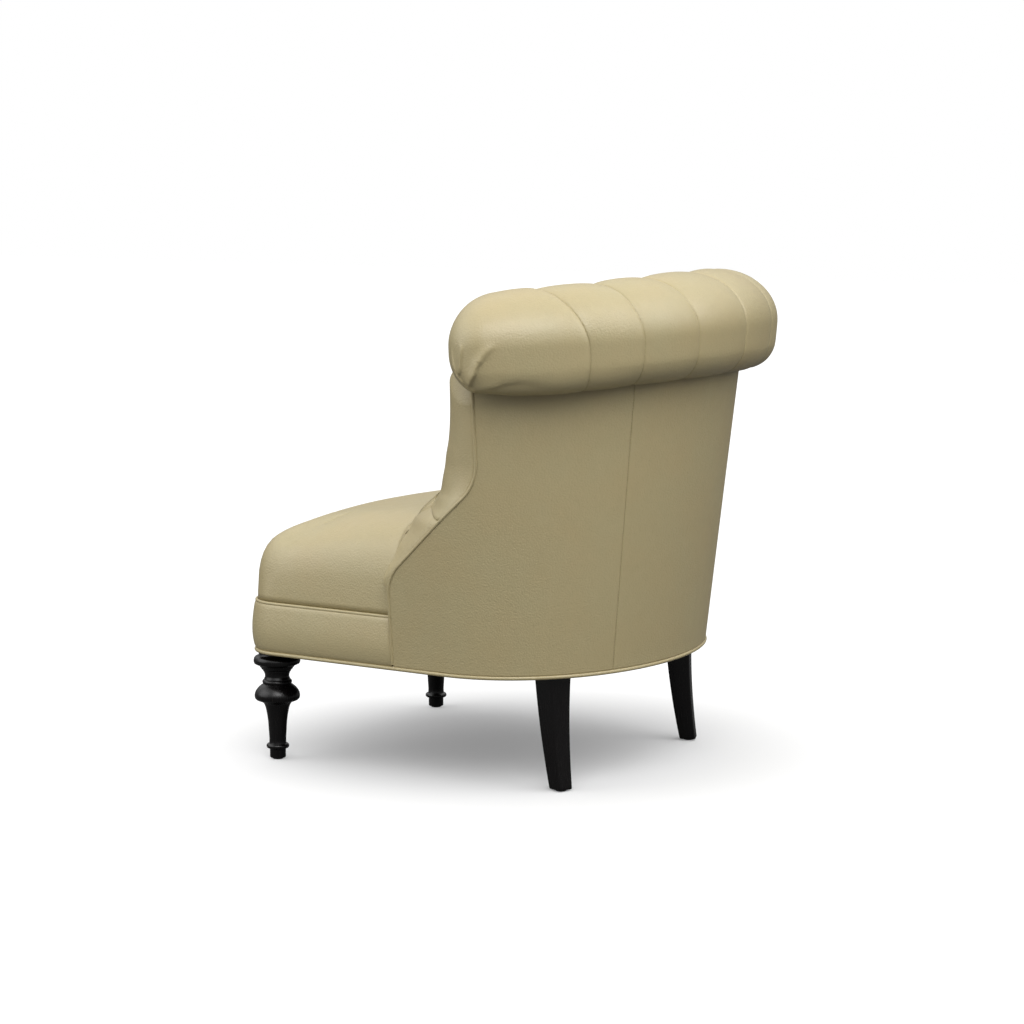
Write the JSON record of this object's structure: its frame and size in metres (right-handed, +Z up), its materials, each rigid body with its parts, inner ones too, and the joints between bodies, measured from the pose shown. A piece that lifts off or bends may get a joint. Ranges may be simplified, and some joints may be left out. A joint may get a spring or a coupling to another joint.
{
  "type": "slipper chair",
  "caption": "Leather slipper chair with a tufted barrel back, a rolled channelled top, a tight crowned seat, turned front legs and square sabre rear legs.",
  "frame": {"origin": "centre of the bounding box, on the floor under the four glides", "axes": "+X to the side on the sitter's left, the sitter faces -Y, +Z up"},
  "size_m": [0.8214, 0.7846, 0.8158],
  "materials": {
    "leather": "olive tan pebble grained leather, satin",
    "black_wood": "black stained wood, satin, the grain showing",
    "frame_wood": "bare beech",
    "foam": "cut polyurethane foam",
    "jute": "woven jute",
    "dust_cloth": "black spunbond cloth",
    "steel": "bright zinc plate",
    "glide_plastic": "moulded nylon"
  },
  "bodies": {
    "root": {"front_leg_left": "black_wood", "front_leg_right": "black_wood", "rear_leg_left": "black_wood", "rear_leg_right": "black_wood", "nail_glides": "glide_plastic", "hanger_bolts": "steel", "corner_blocks": "frame_wood", "front_rail": "frame_wood", "side_rail_left": "frame_wood", "side_rail_right": "frame_wood", "back_rail": "frame_wood", "wing_post_left": "frame_wood", "wing_post_right": "frame_wood", "back_posts": "frame_wood", "crest_rail": "frame_wood", "liner_rail": "frame_wood", "arm_board_left": "frame_wood", "arm_board_right": "frame_wood", "seat_springs": "steel", "spring_clips": "steel", "deck_cloth": "jute", "seat_foam": "foam", "seat_cover": "leather", "seat_welt": "leather", "front_border": "leather", "base_welt": "leather", "dust_cover": "dust_cloth", "back_webbing": "jute", "inside_back_foam": "foam", "inside_back_cover": "leather", "tuft_buttons": "leather", "roll_core": "foam", "roll_cover": "leather", "arm_band_left": "leather", "arm_band_right": "leather", "outside_back_centre": "leather", "outside_back_left": "leather", "outside_back_right": "leather", "swoop_welt_left": "leather", "swoop_welt_right": "leather"}
  },
  "joints": []
}
